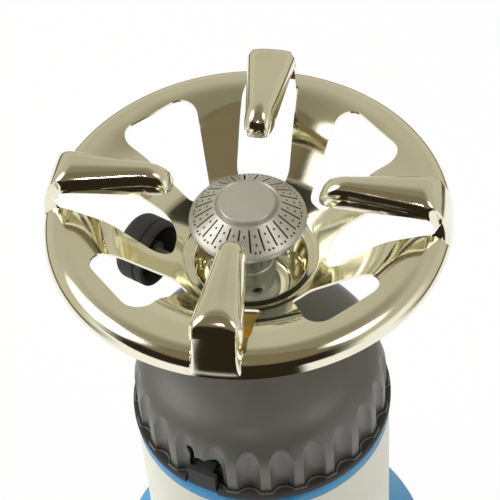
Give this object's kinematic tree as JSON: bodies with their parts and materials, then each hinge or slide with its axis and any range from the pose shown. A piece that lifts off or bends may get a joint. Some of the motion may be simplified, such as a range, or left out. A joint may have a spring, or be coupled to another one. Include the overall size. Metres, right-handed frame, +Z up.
{
  "type": "camping gas stove",
  "caption": "Free-standing gas stove: plated bowl pan support with raised fingers round a slotted burner, domed fluted body with a side tap, on a round gas cartridge in a wide foot.",
  "frame": {"origin": "on the table under the middle of the foot", "axes": "+Z up along the axis of cartridge and burner, -Y towards the front, +X to the right"},
  "size_m": [0.157, 0.157, 0.264],
  "materials": {
    "foot_plastic": "moulded, satin gloss",
    "can_paint": "gloss enamel",
    "label_film": "printed film, left bare",
    "steel": "satin stainless",
    "zinc": "zinc plated",
    "nickel": "bright champagne nickel plating",
    "brass": "turned",
    "body_plastic": "satin moulded",
    "black_plastic": "satin moulded",
    "white_plastic": "moulded",
    "rubber": "matt"
  },
  "bodies": {
    "foot": {"stabiliser_foot": "foot_plastic"},
    "cartridge": {"cartridge_can": "can_paint", "cartridge_label": "label_film", "valve_cup": "steel", "valve_housing": "white_plastic", "stem_gasket": "rubber", "stem_spring": "steel"},
    "stem": {"valve_stem": "white_plastic"},
    "head": {"shroud": "body_plastic", "base_ring": "black_plastic", "bayonet_plate": "steel", "body_screws": "zinc", "inlet_probe": "brass", "inlet_seal": "rubber", "gas_filter": "brass", "valve_body": "brass", "body_nut": "brass", "hub_washer": "zinc", "injector": "brass", "gland_nut": "brass", "spindle_seal": "rubber", "mixing_tube": "zinc", "tube_collar": "zinc", "burner_base": "steel", "burner_cap": "steel", "cap_disc": "steel", "pan_support": "nickel"},
    "lock": {"lock_slide": "black_plastic"},
    "tap": {"spindle": "zinc", "knob": "black_plastic", "knob_screw": "zinc"},
    "needle": {"needle": "steel"}
  },
  "joints": [
    {"name": "cartridge_lift", "type": "slide", "parent": "foot", "child": "cartridge", "axis": [0, 0, 1], "range_m": [0, 0.03]},
    {"name": "stem_press", "type": "slide", "parent": "cartridge", "child": "stem", "axis": [0, 0, 1], "range_m": [-0.0015, 0], "stiffness_N_per_m": 1000, "springref_m": 0.0015, "deforming": ["stem_spring"]},
    {"name": "head_twist", "type": "hinge", "parent": "cartridge", "child": "head", "pos_m": [0, 0, 0.145], "axis": [0, 0, 1], "range_deg": [0, 40]},
    {"name": "lock_lift", "type": "slide", "parent": "head", "child": "lock", "axis": [0, 0, 1], "range_m": [0, 0.008]},
    {"name": "tap_turn", "type": "hinge", "parent": "head", "child": "tap", "pos_m": [0, 0, 0.192], "axis": [-0.809, 0.5878, 0], "range_deg": [0, 450]},
    {"name": "needle_draw", "type": "slide", "parent": "head", "child": "needle", "axis": [-0.809, 0.5878, 0], "range_m": [0, 0.001]}
  ],
  "couplings": [
    {"joint": "needle_draw", "follows": "tap_turn", "m_per_rad": 0.00012732}
  ]
}
